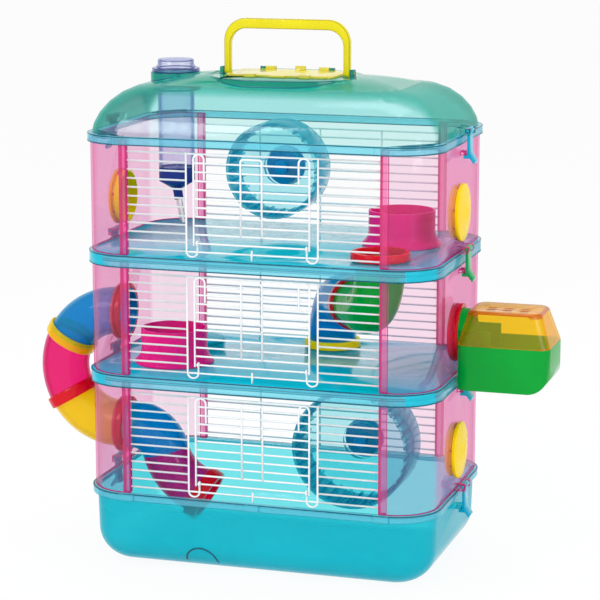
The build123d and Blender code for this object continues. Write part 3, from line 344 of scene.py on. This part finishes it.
def mouldedSkin(tree, roughLow, roughHigh, waveDepth):
    spot = tree.nodes.new("ShaderNodeTexCoord")
    waves = noiseNode(tree, spot, moulding["waveScale"], moulding["waveDetail"])
    grain = noiseNode(tree, spot, moulding["grainScale"], moulding["grainDetail"])
    rubs = noiseNode(tree, spot, moulding["rubScale"], moulding["rubDetail"], moulding["rubTwist"])
    rough = rangeNode(tree, rubs, roughLow, roughHigh, *moulding["rubRange"])
    soft = bumpNode(tree, waves, moulding["waveStrength"], waveDepth)
    fine = bumpNode(tree, grain, moulding["grainStrength"], moulding["grainDepth"])
    tree.links.new(soft.outputs["Normal"], fine.inputs["Normal"])
    return waves, rough, fine.outputs["Normal"]


def shadeOf(colour, by):
    return tuple(min(c * by, 1.0) for c in colour)


def skinColour(tree, waves, skin, surface):
    # a little darker and lighter with the waves
    return mixColour(tree, waves, shadeOf(skin, surface["darker"]), shadeOf(skin, surface["lighter"]))


def highlightPalingNode(tree, highlightPaling):
    # painted highlight: share of the skin, lower towards the top and the left end, with slow clouds,
    # nought on a back face
    spot = tree.nodes.new("ShaderNodeTexCoord")
    split = tree.nodes.new("ShaderNodeSeparateXYZ")
    tree.links.new(spot.outputs["Object"], split.inputs[0])
    # painted highlight: less skin towards the tray's top and its left end, so these show paler
    depth = rangeNode(tree, split.outputs["Z"], 1.0, highlightPaling["top"], highlightPaling["low"], highlightPaling["high"])
    along = rangeNode(tree, split.outputs["X"], highlightPaling["left"], 1.0, *clouds["along"])
    cloudy = rangeNode(tree, noiseNode(tree, spot, clouds["scale"], clouds["detail"], clouds["twist"]),
                       *clouds["share"], *clouds["range"])
    side = tree.nodes.new("ShaderNodeNewGeometry")
    outside = rangeNode(tree, side.outputs["Backfacing"], 1.0, 0.0)
    return mathNode(tree, "MULTIPLY", mathNode(tree, "MULTIPLY", depth, along),
                    mathNode(tree, "MULTIPLY", cloudy, outside))


def makeClear(name, look):
    tree, out = newTree(name)
    waves, rough, normal = mouldedSkin(tree, *gloss["rough"], gloss["wave"])
    slant = tree.nodes.new("ShaderNodeLayerWeight")
    slant.inputs["Blend"].default_value = 0.5
    facing = slant.outputs["Facing"]
    # the plastic's own colour
    matte = tree.nodes.new("ShaderNodeBsdfPrincipled")
    matte.inputs["IOR"].default_value = gloss["ior"]
    matte.inputs["Specular IOR Level"].default_value = gloss["specular"]
    tree.links.new(skinColour(tree, waves, look["skin"], gloss), matte.inputs["Base Color"])
    tree.links.new(rough, matte.inputs["Roughness"])
    tree.links.new(normal, matte.inputs["Normal"])
    # what is seen through it
    passing = tree.nodes.new("ShaderNodeBsdfTransparent")
    deepening = rangeNode(tree, facing, 0.0, 1.0, look.get("turn", gloss["turn"]), 1.0)
    tree.links.new(mixColour(tree, deepening, look["glow"], look["deep"]), passing.inputs["Color"])
    share = rangeNode(tree, facing, look["body"], look["body"] + look["edge"], gloss["skinFrom"], 1.0)
    if "highlightPaling" in look:  # painted highlight, paler towards the top and the left end, and only from outside
        share = mathNode(tree, "MULTIPLY", share, highlightPalingNode(tree, look["highlightPaling"]))
    solid = mixShaders(tree, share, passing.outputs[0], matte.outputs[0])
    # gloss over both
    mirror = tree.nodes.new("ShaderNodeBsdfAnisotropic")
    mirror.inputs["Color"].default_value = (1, 1, 1, 1)
    tree.links.new(rough, mirror.inputs["Roughness"])
    tree.links.new(normal, mirror.inputs["Normal"])
    mirrored = rangeNode(tree, facing, look.get("face", gloss["faceMirror"]),
                         look.get("shine", gloss["slantMirror"]), gloss["mirrorFrom"], 1.0)
    shiny = mixShaders(tree, mirrored, solid, mirror.outputs[0])
    # lamps reach the inside with a light tint
    path = tree.nodes.new("ShaderNodeLightPath")
    lampPass = tree.nodes.new("ShaderNodeBsdfTransparent")
    lampPass.inputs["Color"].default_value = (*look["lamp"], 1)
    lit = mixShaders(tree, path.outputs["Is Shadow Ray"], shiny, lampPass.outputs[0])
    tree.links.new(lit, out.inputs["Surface"])


def makeSolid(name, look):
    tree, out = newTree(name)
    waves, rough, normal = mouldedSkin(tree, look["rough"] - solidGloss["smoother"],
                                       look["rough"] + solidGloss["rougher"], solidGloss["wave"])
    shader = tree.nodes.new("ShaderNodeBsdfPrincipled")
    shader.inputs["IOR"].default_value = solidGloss["ior"]
    shader.inputs["Specular IOR Level"].default_value = solidGloss["specular"]
    shader.inputs["Subsurface Weight"].default_value = solidGloss["glowThrough"]
    shader.inputs["Subsurface Radius"].default_value = solidGloss["glowRadius"]
    tree.links.new(skinColour(tree, waves, look["skin"], solidGloss), shader.inputs["Base Color"])
    tree.links.new(rough, shader.inputs["Roughness"])
    tree.links.new(normal, shader.inputs["Normal"])
    tree.links.new(shader.outputs[0], out.inputs["Surface"])


# powder coat: a fine pebbled skin, slightly grey where it pools
wireCoat = {"pebbleScale": 1400.0, "pebbleDetail": 2.0, "pebbleStrength": 0.3, "pebbleDepth": 0.00004,
            "poolScale": 120.0, "poolDetail": 3.0, "grey": (0.80, 0.82, 0.84), "white": (0.94, 0.94, 0.94),
            "rough": (0.28, 0.45), "ior": 1.5}


def makeWire():
    tree, out = newTree("whiteWire")
    spot = tree.nodes.new("ShaderNodeTexCoord")
    pebble = noiseNode(tree, spot, wireCoat["pebbleScale"], wireCoat["pebbleDetail"])
    pool = noiseNode(tree, spot, wireCoat["poolScale"], wireCoat["poolDetail"])
    shader = tree.nodes.new("ShaderNodeBsdfPrincipled")
    shader.inputs["IOR"].default_value = wireCoat["ior"]
    tree.links.new(mixColour(tree, pool, wireCoat["grey"], wireCoat["white"]), shader.inputs["Base Color"])
    tree.links.new(rangeNode(tree, pool, *wireCoat["rough"]), shader.inputs["Roughness"])
    bump = bumpNode(tree, pebble, wireCoat["pebbleStrength"], wireCoat["pebbleDepth"])
    tree.links.new(bump.outputs["Normal"], shader.inputs["Normal"])
    tree.links.new(shader.outputs[0], out.inputs["Surface"])


# drawn stainless tube with soft smears in its shine
steelTube = {"smearScale": 90.0, "smearDetail": 4.0, "smearTwist": 0.8,
             "dark": (0.62, 0.64, 0.67), "bright": (0.80, 0.81, 0.83), "rough": (0.10, 0.28)}


def makeSteel():
    tree, out = newTree("brightSteel")
    spot = tree.nodes.new("ShaderNodeTexCoord")
    smear = noiseNode(tree, spot, steelTube["smearScale"], steelTube["smearDetail"],
                      steelTube["smearTwist"])
    shader = tree.nodes.new("ShaderNodeBsdfPrincipled")
    shader.inputs["Metallic"].default_value = 1.0
    tree.links.new(mixColour(tree, smear, steelTube["dark"], steelTube["bright"]),
                   shader.inputs["Base Color"])
    tree.links.new(rangeNode(tree, smear, *steelTube["rough"]), shader.inputs["Roughness"])
    tree.links.new(shader.outputs[0], out.inputs["Surface"])


for name, look in clearPlastics.items():
    makeClear(name, look)
for name, look in solidPlastics.items():
    makeSolid(name, look)
makeWire()
makeSteel()
print("finishes ready", len(finishes))

# finish of the walls, finish of the rounded corners, width of the rounding in mm
nodeFinish = {
    "base_tray": ("trayTurquoise", "rimTurquoise", 0.6),
    "lower_floor": ("floorTurquoise", "darkTeal", 1.0),
    "upper_floor": ("floorTurquoise", "darkTeal", 1.0),
    "roof": ("roofTurquoise", "darkTeal", 1.0),
    "roof_hatch": ("hatchYellow", "rimYellow", 0.3),
    "carry_handle": ("handleYellow", "rimYellow", 0.9),
    "bottle_collar": ("clearBottle", "rimBottle", 0.8),
    "bottle_body": ("clearBottle", "rimBottle", 0.9),
    "bottle_cap": ("navyPlastic", "navyPlastic", 0.3),
    "drinking_spout": ("brightSteel", "brightSteel", 0.0),
    "upper_wheel": ("wheelTurquoise", "wheelRim", 0.4),
    "lower_wheel": ("wheelTurquoise", "wheelRim", 0.4),
    "upper_wheel_axle": ("hubBlue", "hubBlue", 0.4),
    "lower_wheel_axle": ("hubBlue", "hubBlue", 0.4),
    "upper_left_plug": ("yellowPlastic", "yellowPlastic", 0.4),
    "upper_right_plug": ("yellowPlastic", "yellowPlastic", 0.4),
    "lower_right_plug": ("yellowPlastic", "yellowPlastic", 0.4),
    "floor_plug": ("tealPlastic", "tealPlastic", 0.4),
    "port_rings": ("clearRed", "clearRed", 0.4),
    "outer_tube_upper_elbow": ("clearBlue", "clearBlue", 0.0),
    "outer_tube_upper_coupling": ("clearYellow", "clearYellow", 0.3),
    "outer_tube_middle": ("clearMagenta", "clearMagenta", 0.0),
    "outer_tube_lower_coupling": ("clearRed", "clearRed", 0.3),
    "outer_tube_lower_elbow": ("clearYellow", "clearYellow", 0.0),
    "inner_tube_upper_elbow": ("clearBlue", "clearBlue", 0.0),
    "inner_tube_lower_elbow": ("clearMagenta", "clearMagenta", 0.0),
    "inner_tube_end_ring": ("clearRed", "clearRed", 0.3),
    "climbing_tube_floor_ring": ("yellowPlastic", "yellowPlastic", 0.3),
    "climbing_tube_lower_elbow": ("clearBlue", "clearBlue", 0.0),
    "climbing_tube_coupling": ("clearRed", "clearRed", 0.3),
    "climbing_tube_upper_elbow": ("clearGreen", "clearGreen", 0.0),
    "climbing_tube_top_ring": ("redPlastic", "redPlastic", 0.3),
    "nest_pod_base": ("clearGreen", "clearGreen", 0.8),
    "nest_pod_lid": ("clearOrange", "rimOrange", 1.0),
    "upper_food_bowl": ("magentaPlastic", "magentaPlastic", 0.4),
    "middle_food_bowl": ("magentaPlastic", "magentaPlastic", 0.4),
}
for end in ("left", "right"):
    for level in ("tray", "lower_floor", "upper_floor", "roof"):
        nodeFinish[level + "_" + end + "_clip"] = ("clearClip", "clearClip", 0.3)
nodeFinish["upper_floor_right_clip"] = ("greenClip", "greenClip", 0.3)
for storey in ("lower", "middle", "upper"):
    nodeFinish[storey + "_left_panel"] = ("clearPink", "rimPink", 1.0)
    nodeFinish[storey + "_right_panel"] = ("clearPink", "rimPink", 1.0)
    nodeFinish["front_" + storey + "_grille"] = ("whiteWire", "whiteWire", 0.0)
    nodeFinish["back_" + storey + "_grille"] = ("whiteWire", "whiteWire", 0.0)
    nodeFinish[storey + "_door"] = ("whiteWire", "whiteWire", 0.0)

bodyOf = {}
for bodyName, members in frame["record"]["behaviour"]["bodies"].items():
    for member in members:
        bodyOf[member] = bodyName

# where one finish gives way to another: heights and reaches in mm, leans as the cosine
zones = {
    "barFrom": 140.5, "barTo": 149.5, "squareOn": 0.9,
    "padAbove": 528.9, "roofBandBelow": 478.5,
    "deckLength": 392.0, "deckDepth": 255.0,
    "trayBandAbove": 78.0, "trayUpward": 0.6, "trayInward": 20.0,
    "lidTopAbove": 286.0, "lidRimArea": 30.0, "treadLean": 0.4,
}


def finishOfFace(node, face):
    # the finish of a face that differs from its wall: bars, pad, bands, treads
    middle, normal = face.calc_center_median() / mm, face.normal
    if node.endswith("_panel"):
        onBar = zones["barFrom"] < abs(middle.x) < zones["barTo"]
        if abs(normal.z) > zones["squareOn"] or (onBar and abs(normal.x) > zones["squareOn"]):
            return "rimPink"
        return "barPink" if onBar else None
    if node == "roof":
        if middle.z > zones["padAbove"]:
            return "padTeal"
        return "bandTurquoise" if middle.z < zones["roofBandBelow"] else None
    if node.endswith("_floor"):
        past = max(abs(middle.x) - zones["deckLength"] / 2, abs(middle.y) - zones["deckDepth"] / 2)
        return "bandTurquoise" if past > 0 else None
    if node == "base_tray":
        if middle.z > zones["trayBandAbove"]:
            return "bandTurquoise"
        inward = normal.x * middle.x + normal.y * middle.y < -zones["trayInward"]
        return "trayInside" if inward or normal.z > zones["trayUpward"] else None
    if node == "nest_pod_lid" and middle.z > zones["lidTopAbove"]:
        return "rimOrange" if face.calc_area() < zones["lidRimArea"] * mm * mm else None
    if node.endswith("_wheel"):
        return "wheelRim" if abs(normal.y) < zones["treadLean"] else None
    return None


# angles in degrees; the rest times the width of the rounding
rounding = {"sharpOver": 50, "segments": 2, "sideRoom": 1.5, "faceRoom": 2.2, "spikeOver": 0.6,
            "keepClear": 6, "tries": 4}


def roomFor(edge, sharp, width):
    # a corner is rounded only where the faces beside it are wide enough
    for end in edge.verts:
        for other in end.link_edges:
            short = other.calc_length() < rounding["sideRoom"] * width
            if other is not edge and other not in sharp and short:
                return False
    for face in edge.link_faces:
        if face.calc_area() / max(edge.calc_length(), 0.1 * mm) < rounding["faceRoom"] * width:
            return False
    return True


def nearAny(edge, places, reach):
    return any((v.co - place).length < reach for v in edge.verts for place in places)


def roundCorners(bm, width):
    # bevel the sharp corners; one that would throw a spike is left sharp
    before = BVHTree.FromBMesh(bm)
    spare = bpy.data.meshes.new("spare")
    bm.to_mesh(spare)
    spikes = []
    for attempt in range(rounding["tries"]):
        sharp = {e for e in bm.edges
                 if e.is_manifold and e.calc_face_angle() > math.radians(rounding["sharpOver"])}
        corners = [e for e in sharp if roomFor(e, sharp, width)
                   and not nearAny(e, spikes, rounding["keepClear"] * width)]
        made = bmesh.ops.bevel(bm, geom=corners, offset=width, offset_type="OFFSET",
                               segments=rounding["segments"], profile=0.5, affect="EDGES",
                               clamp_overlap=False, material=-1)
        found = []
        for vert in made["verts"]:
            spot, _, _, gap = before.find_nearest(vert.co)
            if gap > rounding["spikeOver"] * width:
                found.append(spot.copy())
        if not found or attempt == rounding["tries"] - 1:
            break
        spikes += found
        bm.clear()
        bm.from_mesh(spare)
    bpy.data.meshes.remove(spare)
    for face in made["faces"]:
        face.material_index = 1
    return len(spikes)


# lengths in mm, angles in degrees
shells = {"merge": 0.01, "sliver": 0.005, "flatUnder": 0.4, "cutClose": 0.001, "barEdge": 149.0,
          "shadeUnder": 32, "bendOver": 0.2865}


def bends(face):
    # true where a neighbour carries the surface on at a slight angle
    slight, most = math.radians(shells["bendOver"]), math.radians(shells["shadeUnder"])
    return any(e.is_manifold and slight < e.calc_face_angle() < most for e in face.edges)


def shellOf(node):
    # merged copy of a CAD node, its sharp corners rounded as a mould leaves them
    wall, rim, width = nodeFinish[node]
    mesh = frame["nodes"][node].data.copy()
    mesh.name = node + "_shell"
    bm = bmesh.new()
    bm.from_mesh(mesh)
    bmesh.ops.remove_doubles(bm, verts=bm.verts, dist=shells["merge"] * mm)
    bmesh.ops.dissolve_degenerate(bm, edges=bm.edges, dist=shells["sliver"] * mm)
    if width > 0:
        if node != "roof_hatch":  # merged flats would shade it in wedges
            bmesh.ops.dissolve_limit(bm, angle_limit=math.radians(shells["flatUnder"]),
                                     verts=bm.verts, edges=bm.edges)
        if node.endswith("_panel"):  # the bar becomes faces of its own
            side = -1 if "_left_" in node else 1
            bmesh.ops.bisect_plane(bm, geom=list(bm.verts) + list(bm.edges) + list(bm.faces),
                                   dist=shells["cutClose"] * mm,
                                   plane_co=(side * shells["barEdge"] * mm, 0, 0), plane_no=(1, 0, 0))
        spikes = roundCorners(bm, width * mm)
        if spikes:
            print(node, "corners left sharp near", spikes, "points")
    used = [wall, rim]
    for face in bm.faces:
        face.smooth = len(face.verts) <= 4 and bends(face)
        other = finishOfFace(node, face) if face.material_index == 0 else None
        if other:
            if other not in used:
                used.append(other)
            face.material_index = used.index(other)
    mesh.materials.clear()  # before the faces go in, because it resets their slots
    for finish in used:
        mesh.materials.append(finishes[finish])
    bm.to_mesh(mesh)
    bm.free()
    mesh.set_sharp_from_angle(angle=math.radians(shells["shadeUnder"]))
    piece = bpy.data.objects.new(node + "_shell", mesh)
    scene.collection.objects.link(piece)
    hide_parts(node)
    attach(piece, bodyOf[node])


for node in nodeFinish:
    shellOf(node)
print("shells", len(nodeFinish))


def newPiece(name, bm, finish, body):
    mesh = bpy.data.meshes.new(name)
    bmesh.ops.recalc_face_normals(bm, faces=bm.faces)
    bm.to_mesh(mesh)
    bm.free()
    mesh.materials.append(finishes[finish])
    piece = bpy.data.objects.new(name, mesh)
    scene.collection.objects.link(piece)
    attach(piece, body)
    return piece


# levels: upper and lower edge of each band; all lengths in mm
bands = {"length": 400.0, "depth": 263.0, "corner": 51.0, "cornerSteps": 14,
         "proud": 0.35, "wall": 1.4, "bead": 1.0,
         "levels": {"roof": (478.4, 469.3), "upper_floor": (349.6, 336.4), "lower_floor": (216.8, 203.6),
                    "base_tray": (84.0,)}}


def roundedPlate(bm, length, depth, corner):
    # one flat face with round corners
    made = bmesh.ops.create_grid(bm, x_segments=1, y_segments=1, size=0.5)
    bmesh.ops.scale(bm, vec=(length * mm, depth * mm, 1), verts=made["verts"])
    bmesh.ops.bevel(bm, geom=made["verts"], offset=corner * mm, offset_type="OFFSET",
                    segments=bands["cornerSteps"], profile=0.5, affect="VERTICES", clamp_overlap=True,
                    material=-1)


def beadLoop(base):
    # a slim closed lip whose underside is at the height of base
    loop = bmesh.new()
    around = 2 * bands["proud"]
    roundedPlate(loop, bands["length"] + around, bands["depth"] + around, bands["corner"] + bands["proud"])
    bmesh.ops.inset_region(loop, faces=loop.faces, thickness=bands["wall"] * mm,
                           use_even_offset=True, use_boundary=True)
    middle = [f for f in loop.faces if len(f.verts) > 4]
    bmesh.ops.delete(loop, geom=middle, context="FACES")
    made = bmesh.ops.extrude_face_region(loop, geom=list(loop.faces))
    tops = [g for g in made["geom"] if isinstance(g, bmesh.types.BMVert)]
    bmesh.ops.translate(loop, vec=(0, 0, bands["bead"] * mm), verts=tops)
    bmesh.ops.translate(loop, vec=(0, 0, base * mm), verts=loop.verts)
    return loop


def addBeads():
    # a moulded lip along each edge of the bands, which shows as a darker line
    count = 0
    for node, levels in bands["levels"].items():
        bm = bmesh.new()
        for index, level in enumerate(levels):
            loop = beadLoop(level - bands["bead"] if index == 0 else level)
            spare = bpy.data.meshes.new("spare")
            loop.to_mesh(spare)
            loop.free()
            bm.from_mesh(spare)
            bpy.data.meshes.remove(spare)
            count += 1
        newPiece(node + "_beads", bm, "darkTeal", "cage")
    print("beads", count)


addBeads()

treads = {"upper_wheel": {"place": (-38.0, 420.0), "radius": 55.0, "depth": 50.0, "bars": 34},
          "lower_wheel": {"place": (58.0, 102.5), "radius": 69.0, "depth": 60.0, "bars": 42},
          "width": 2.6, "height": 1.2, "wall": 2.0, "shorter": 6.0, "chamfer": 0.3, "merge": 0.02}


def addTreadBars():
    # grip bars across the inside of each running wheel
    for node in ("upper_wheel", "lower_wheel"):
        wheel = treads[node]
        low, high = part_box(node)
        middleY = (low[1] + high[1]) / 2
        barLength = wheel["depth"] - treads["shorter"]
        bm = bmesh.new()
        made = bmesh.ops.create_cube(bm, size=1.0)
        bmesh.ops.scale(bm, vec=(treads["width"] * mm, barLength * mm, treads["height"] * mm),
                        verts=made["verts"])
        edges = [e for e in bm.edges if abs(e.verts[0].co.y - e.verts[1].co.y) > mm]
        bmesh.ops.bevel(bm, geom=edges, offset=treads["chamfer"] * mm, offset_type="OFFSET", segments=1,
                        profile=0.5, affect="EDGES", clamp_overlap=True, material=-1)
        reach = wheel["radius"] - treads["wall"] - treads["height"] / 2
        bmesh.ops.translate(bm, vec=(0, 0, -reach * mm), verts=bm.verts)
        bmesh.ops.spin(bm, geom=list(bm.verts) + list(bm.edges) + list(bm.faces), cent=(0, 0, 0),
                       axis=(0, 1, 0), dvec=(0, 0, 0), angle=2 * math.pi, steps=wheel["bars"],
                       use_merge=False, use_normal_flip=False, use_duplicate=True)
        bmesh.ops.remove_doubles(bm, verts=bm.verts, dist=treads["merge"] * mm)
        bmesh.ops.translate(bm, vec=(wheel["place"][0] * mm, middleY, wheel["place"][1] * mm),
                            verts=bm.verts)
        newPiece(node + "_treads", bm, "wheelRim", bodyOf[node])
        print(node, "tread bars", wheel["bars"])


addTreadBars()

trayArch = {"middle": (-62.0, 9.0), "radius": 18.0, "thick": 2.2, "sides": 10, "steps": 28,
            "castFrom": -300.0}


def addTrayArch():
    # moulded arch low on the front of the tray
    bm = bmesh.new()
    made = bmesh.ops.create_circle(bm, segments=trayArch["sides"], radius=trayArch["thick"] / 2 * mm)
    bmesh.ops.translate(bm, vec=(trayArch["radius"] * mm, 0, 0), verts=made["verts"])
    bmesh.ops.spin(bm, geom=list(bm.edges), cent=(0, 0, 0), axis=(0, -1, 0), dvec=(0, 0, 0),
                   angle=math.pi, steps=trayArch["steps"], use_merge=False, use_duplicate=False)
    bmesh.ops.holes_fill(bm, edges=[e for e in bm.edges if e.is_boundary], sides=trayArch["sides"] + 2)
    x, z = trayArch["middle"]
    bmesh.ops.translate(bm, vec=(x * mm, 0, z * mm), verts=bm.verts)
    tray = bmesh.new()
    tray.from_mesh(frame["nodes"]["base_tray"].data)
    walls = BVHTree.FromBMesh(tray)
    tray.free()
    for vert in bm.verts:  # lay it on the curved foot of the wall
        start = Vector((vert.co.x, trayArch["castFrom"] * mm, vert.co.z))
        vert.co.y += walls.ray_cast(start, Vector((0, 1, 0)))[0].y
    piece = newPiece("tray_arch", bm, "darkTeal", "cage")
    for face in piece.data.polygons:
        face.use_smooth = True
    print("tray arch")


addTrayArch()

bpy.context.view_layer.update()
